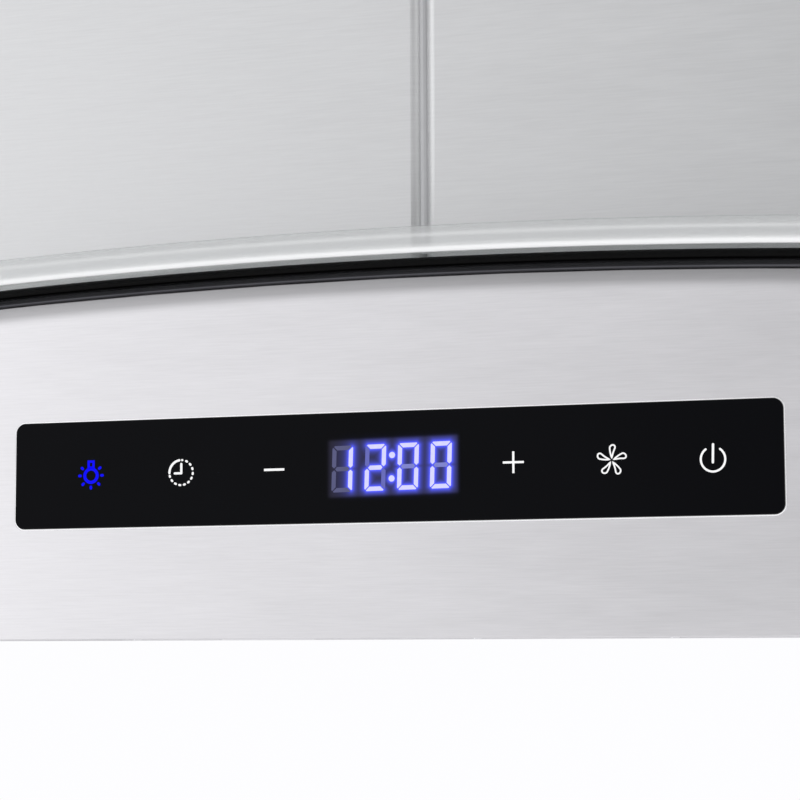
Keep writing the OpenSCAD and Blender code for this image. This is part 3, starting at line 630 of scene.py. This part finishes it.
plate("lamp_sign", bulb_shapes(), -94.62, -0.2, M["blue_icon"])
plate("timer_sign", clock_shapes(), -64.68, -0.02, M["white_icon"])
plate("minus_sign", [polygon([(-3.25, -0.36), (3.25, -0.36), (3.25, 0.36), (-3.25, 0.36)])], -34.45, 0.08, M["white_icon"])
plate("plus_sign", [polygon([(-3.2, -0.32), (-0.32, -0.32), (-0.32, 0.32), (-3.2, 0.32)]), polygon([(0.32, -0.32), (3.2, -0.32), (3.2, 0.32), (0.32, 0.32)]),
                    polygon([(-0.32, -3.2), (0.32, -3.2), (0.32, 3.2), (-0.32, 3.2)])], 40.24, 0.32, M["white_icon"])
plate("fan_sign", [petal(a) for a in (84, 158, 233, 299, 17)], 69.75, 0.12, M["white_icon"])
plate("power_sign", [strip(arc(3.55, 126, 414, 44), 0.6), strip([(0.08, 4.25), (-0.06, -0.9)], 0.68)], 99.46, -0.38, M["white_icon"])

# ------------------------------------------------------------------ the clock display

DIGIT_H, DIGIT_W, SEG = 13.9, 6.5, 1.3
DIGIT_X = [-15.9, -5.5, 4.7, 14.9]
DIGIT_TOP = 6.9
SLANT = 0.65 / 13.9


def segments():
    """The seven cut-cornered bars of one digit, as polygons from its top-left corner."""
    h, w, t, g, c = DIGIT_H, DIGIT_W, SEG, 0.24, 0.5
    m = -h / 2
    out = {}
    out["a"] = [(c + g, 0), (w - c - g, 0), (w - c / 2 - g, -c / 2), (w - t - g, -t), (t + g, -t), (c / 2 + g, -c / 2)]
    out["d"] = [(t + g, -h + t), (w - t - g, -h + t), (w - c / 2 - g, -h + c / 2), (w - c - g, -h), (c + g, -h), (c / 2 + g, -h + c / 2)]
    out["g"] = [(t + g, m + t / 2), (w - t - g, m + t / 2), (w - t / 2 - g * 1.5, m), (w - t - g, m - t / 2), (t + g, m - t / 2), (t / 2 + g * 1.5, m)]
    out["f"] = [(0, -c - g), (c / 2, -c / 2 - g), (t, -t - g), (t, m + t / 2 + g), (t / 2, m + g * 1.2), (0, m + t / 2 + g)]
    out["e"] = [(c / 2, -h + c / 2 + g), (0, -h + c + g), (0, m - t / 2 - g), (t / 2, m - g * 1.2), (t, m - t / 2 - g), (t, -h + t + g)]
    out["b"] = [(w - x, y) for x, y in reversed(out["f"])]
    out["c"] = [(w - x, y) for x, y in reversed(out["e"])]
    return out


def set_in(points):
    """The display sits in the panel a touch askew."""
    return [(0.24 + x - 0.0155 * y, y + 0.0155 * (x - 3.0)) for x, y in points]


def slanted(points, x0):
    return set_in([(x0 + x + y * SLANT, DIGIT_TOP + y) for x, y in points])


ON = ["bc", "abged", "abcdef", "abcdef"]
lit_polys, unlit_polys = [], {"": [], "_near": [], "_mid": []}
for x0, on in zip(DIGIT_X, ON):
    for key, poly in segments().items():
        near = "" if x0 < -10 else "_near" if x0 < 0 else "_mid"
        (lit_polys if key in on else unlit_polys[near]).append(slanted(poly, x0))
colon = [set_in(arc(0.93, 0, 360, 24, 2.75, 3.5)[:-1]), set_in(arc(0.93, 0, 360, 24, 2.45, -3.5)[:-1])]
plate("digits_lit", [polygon(p) for p in lit_polys + colon], 0, 0, M["lit"], lift=0.09, thick=0.05)
for near, polys in unlit_polys.items():
    plate("digits_unlit" + near, [polygon(p) for p in polys], 0, 0, M["unlit" + near], lift=0.085, thick=0.04)


def display_window():
    """The smoked window: a fine sheet whose own colour attribute holds the light that spreads round the lit bars."""
    x0, x1, z0, z1 = -18.4, 24.4, -10.4, 11.0
    nx, nz = 260, 130
    u = np.linspace(x0, x1, nx)
    v = np.linspace(z0, z1, nz)
    U, V = np.meshgrid(u, v)
    d = np.full(U.shape, 1e9)
    for poly in lit_polys + colon:
        p = np.array(poly)
        inside = np.zeros(U.shape, bool)
        best = np.full(U.shape, 1e9)
        for i in range(len(p)):
            a, b = p[i], p[(i + 1) % len(p)]
            ab = b - a
            t = np.clip(((U - a[0]) * ab[0] + (V - a[1]) * ab[1]) / (ab @ ab + 1e-12), 0, 1)
            best = np.minimum(best, np.hypot(U - a[0] - t * ab[0], V - a[1] - t * ab[1]))
            cond = ((a[1] > V) != (b[1] > V)) & (U < (b[0] - a[0]) * (V - a[1]) / (b[1] - a[1] + 1e-12) + a[0])
            inside ^= cond
        best[inside] = 0
        d = np.minimum(d, best)
    near = np.exp(-(d / 0.62) ** 1.25)
    wide = np.exp(-(d / 2.2) ** 1.25)
    # the window's own faint light, fading to the black glass at its rim
    tilt = V - 0.0155 * (U - 3.0)
    edge_u = 1 / (1 + np.exp(-(U + 16.9) / 0.34)) * 1 / (1 + np.exp((U - 23.3) / 0.34))
    edge_v = 1 / (1 + np.exp(-(tilt + 8.45) / 0.2)) * 1 / (1 + np.exp((tilt - 8.6) / 0.2))
    win = edge_u * edge_v
    rgb = (near[..., None] * np.array([0.055, 0.075, 0.95]) + wide[..., None] * np.array([0.03, 0.037, 0.22])) * (0.04 + 0.96 * win[..., None])
    rgb += win[..., None] * np.array([0.021, 0.019, 0.033])
    rim = np.clip(np.minimum(np.minimum(U - x0, x1 - U) / 1.2, np.minimum(V - z0, z1 - V) / 1.2), 0, 1)
    rgb *= rim[..., None]
    verts = [panel_point(a, b, 0.03) for b in v for a in u]
    faces = [(j * nx + i, j * nx + i + 1, (j + 1) * nx + i + 1, (j + 1) * nx + i) for j in range(nz - 1) for i in range(nx - 1)]
    back = len(verts)
    verts += [panel_point(a, b, -0.01) for a, b in ((x0, z0), (x1, z0), (x1, z1), (x0, z1))]
    bl, br, tr, tl = 0, nx - 1, nx * nz - 1, nx * (nz - 1)
    faces += [(back + 3, back + 2, back + 1, back)]
    faces += [tuple(range(bl, br + 1))[::-1] + (back, back + 1), tuple(range(tl, tr + 1)) + (back + 2, back + 3),
              tuple(range(bl, tl + 1, nx)) + (back + 3, back), tuple(range(br, tr + 1, nx))[::-1] + (back + 1, back + 2)]
    me = bpy.data.meshes.new("display_window")
    me.from_pydata(verts, [], faces)
    me.update()
    at = me.color_attributes.new("spread_light", "FLOAT_COLOR", "POINT")
    data = np.zeros((len(verts), 4), np.float32)
    data[:nx * nz, :3] = rgb.reshape(-1, 3)
    data[:, 3] = 1
    at.data.foreach_set("color", data.ravel())
    bm = bmesh.new()
    bm.from_mesh(me)
    bmesh.ops.recalc_face_normals(bm, faces=bm.faces)
    bm.to_mesh(me)
    bm.free()
    m = Mat("display_smoke").set(spec=0.07, rough=0.07, strength=1.0)
    slow = m.noise((14, 14, 14), detail=2.0)
    m.to(m.ramp(slow, (0.3, (0.0012, 0.0013, 0.0024)), (0.7, (0.0016, 0.0018, 0.0031))), "Base Color")
    a = m.n("ShaderNodeVertexColor", layer_name="spread_light")
    m.to(a.outputs["Color"], "Emission Color")
    me.materials.append(m.m)
    ob = bpy.data.objects.new("display_window", me)
    bpy.context.scene.collection.objects.link(ob)
    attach(ob, "hood")


display_window()


def panel_rim():
    """The fine turned-up lip of the opening round the touch glass."""
    prof = [(0.03, -0.6), (0.27, -0.6), (0.27, -0.02), (0.5, -0.02), (0.49, 0.14), (0.42, 0.3), (0.32, 0.4), (0.2, 0.43), (0.09, 0.4), (0.03, 0.3)]
    w, h = touch_hi.x - touch_lo.x, touch_hi.z - touch_lo.z
    verts, rings = [], []
    for o, proud in prof:
        loop = rounded_loop(w, h, 0.003, -o * MM, step=0.01, nc=10)
        rings.append(len(verts))
        verts += [(x, body_lo.y - proud * MM, PANEL_Z + z) for x, z in loop]
    n = len(verts) // len(prof)
    faces = []
    for a in range(len(prof)):
        b = (a + 1) % len(prof)
        faces += [(rings[a] + i, rings[a] + (i + 1) % n, rings[b] + (i + 1) % n, rings[b] + i) for i in range(n)]
    return make("panel_rim", verts, faces, M["rim"], smooth=True)


panel_rim()


def seam_bead(name, node, body, z0, z1):
    """A pressed joint bead down the crease between the two halves of a cover, front and back."""
    lo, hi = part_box(node)
    front, x0 = lo.y, -0.0075
    verts, faces = [], []
    for side in (1, -1):
        cut = [(-1.3, 1.42), (-0.8, 1.24), (0.0, 1.17), (0.8, 1.24), (1.3, 1.42), (0.85, 2.0), (-0.85, 2.0)]
        zs = [z0 + (z1 - z0) * k / 24 for k in range(25)]
        base = len(verts)
        for z in zs:
            verts += [(x0 + u * MM, side * (front + d * MM), z) for u, d in cut]
        n = len(cut)
        for k in range(24):
            for i in range(n):
                j = (i + 1) % n
                faces.append((base + k * n + i, base + k * n + j, base + (k + 1) * n + j, base + (k + 1) * n + i))
        faces += [tuple(base + i for i in range(n)), tuple(base + 24 * n + i for i in reversed(range(n)))]
    return make(name, verts, faces, M["bead_grey"], body=body)


seam_bead("seam_bead_lower", "lower_cover_right", "lower_chimney", -0.8 + 0.127, cover_hi.z - 0.002)
seam_bead("seam_bead_upper", "upper_cover_right", "hood", -0.8 + 0.4325, -0.004)

# ------------------------------------------------------------------ springs move with their filters

for side in ("left", "right"):
    src = nodes[f"latch_spring_{side}"]
    me = src.data.copy()
    ob = bpy.data.objects.new(f"spring_wire_{side}", me)
    bpy.context.scene.collection.objects.link(ob)
    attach(ob, f"filter_{side}")
    me.shade_smooth()
    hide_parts(f"latch_spring_{side}")
    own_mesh(ob)

# ------------------------------------------------------------------ studio

def floor_material():
    m = Mat("studio_floor").set(rough=0.9, spec=0.1, emit=(1, 1, 1), strength=0.22)
    n = m.noise((3, 3, 3), detail=2.0)
    m.to(m.ramp(n, (0.3, (0.86, 0.86, 0.865)), (0.7, (0.875, 0.875, 0.88))), "Base Color")
    geo = m.n("ShaderNodeNewGeometry")
    mix = m.n("ShaderNodeMixShader")
    clear = m.n("ShaderNodeBsdfTransparent")
    m.link(geo.outputs["Backfacing"], mix.inputs["Fac"])
    m.link(m.b.outputs[0], mix.inputs[1])
    m.link(clear.outputs[0], mix.inputs[2])
    m.link(mix.outputs[0], m.out.inputs["Surface"])
    return m.m


fm = bpy.data.meshes.new("studio_floor")
fm.from_pydata([(-9, -9, -2.4), (9, -9, -2.4), (9, 9, -2.4), (-9, 9, -2.4)], [], [(0, 1, 2, 3)])
fm.materials.append(floor_material())
floor = bpy.data.objects.new("studio_floor", fm)
bpy.context.scene.collection.objects.link(floor)

world = bpy.data.worlds.new("studio")
world.use_nodes = True
bg = world.node_tree.nodes["Background"]
bg.inputs["Color"].default_value = (0.985, 0.985, 1.0, 1)
wt = world.node_tree
seen = wt.nodes.new("ShaderNodeLightPath")
ways = wt.nodes.new("ShaderNodeTexCoord")
axes = wt.nodes.new("ShaderNodeSeparateXYZ")
wt.links.new(ways.outputs["Generated"], axes.inputs[0])
half = wt.nodes.new("ShaderNodeMapRange")
half.inputs["From Min"].default_value = -1.0
half.inputs["From Max"].default_value = 1.0
wt.links.new(axes.outputs["X"], half.inputs["Value"])
side = wt.nodes.new("ShaderNodeValToRGB")  # the room is brighter on the viewer's left
stops = side.color_ramp.elements
while len(stops) < 6:
    stops.new(0.5)
for stop, (where, v) in zip(stops, ((0.0, 0.60), (0.12, 0.74), (0.23, 1.14), (0.38, 0.86), (0.47, 0.50), (1.0, 0.42))):
    stop.position, stop.color = where, (v, v, v, 1)
wt.links.new(half.outputs[0], side.inputs[0])
level = wt.nodes.new("ShaderNodeMix")
level.inputs[3].default_value = 1.0
either = wt.nodes.new("ShaderNodeMath")
either.operation = "MAXIMUM"
wt.links.new(seen.outputs["Is Camera Ray"], either.inputs[0])
wt.links.new(seen.outputs["Is Transmission Ray"], either.inputs[1])
wt.links.new(either.outputs[0], level.inputs[0])
wt.links.new(side.outputs[0], level.inputs[2])
wt.links.new(level.outputs[0], bg.inputs["Strength"])
bpy.context.scene.world = world


def softbox(name, loc, target, size, power, color=(1, 1, 1), size_y=None):
    d = bpy.data.lights.new(name, "AREA")
    d.energy = power
    d.color = color
    d.shape = "RECTANGLE"
    d.size = size
    d.size_y = size_y or size
    ob = bpy.data.objects.new(name, d)
    ob.location = loc
    ob.rotation_mode = "QUATERNION"
    ob.rotation_quaternion = (Vector(target) - Vector(loc)).to_track_quat("-Z", "Y")
    ob.visible_camera = False
    ob.visible_transmission = False
    bpy.context.scene.collection.objects.link(ob)
    return ob


softbox("key", (-2.8, -2.8, -0.9), (0, -0.2, -0.7), 2.2, 8)
softbox("fill", (2.8, -2.6, 0.0), (0, -0.2, -0.7), 2.0, 6)
softbox("top", (0.0, 0.4, 2.6), (0, 0, -0.5), 3.0, 16)
softbox("rim", (1.8, 3.2, 0.6), (0, 0, -0.5), 2.0, 7)

# ------------------------------------------------------------------ camera

cam_data = bpy.data.cameras.new("camera")
cam_data.sensor_fit = "HORIZONTAL"
cam_data.sensor_width = 36
cam_data.lens = 104.285
cam_data.clip_start, cam_data.clip_end = 0.01, 60
cam = bpy.data.objects.new("camera", cam_data)
cam.location = (0.21081, -0.89730, PANEL_Z - 0.05176)
yaw, pitch, roll = math.radians(17.306), math.radians(5.939), math.radians(-0.246)
fw = Vector((-math.sin(yaw) * math.cos(pitch), math.cos(yaw) * math.cos(pitch), math.sin(pitch)))
right = Vector((math.cos(yaw), math.sin(yaw), 0))
up = right.cross(fw)
r2 = right * math.cos(roll) + up * math.sin(roll)
u2 = up * math.cos(roll) - right * math.sin(roll)
cam.rotation_mode = "QUATERNION"
cam.rotation_quaternion = Matrix((r2, u2, -fw)).transposed().to_quaternion()
bpy.context.scene.collection.objects.link(cam)
bpy.context.scene.camera = cam
vs = bpy.context.scene.view_settings
vs.view_transform = "Standard"
vs.look = "None"
vs.exposure = 0.0
vs.gamma = 1.0

bpy.context.view_layer.update()
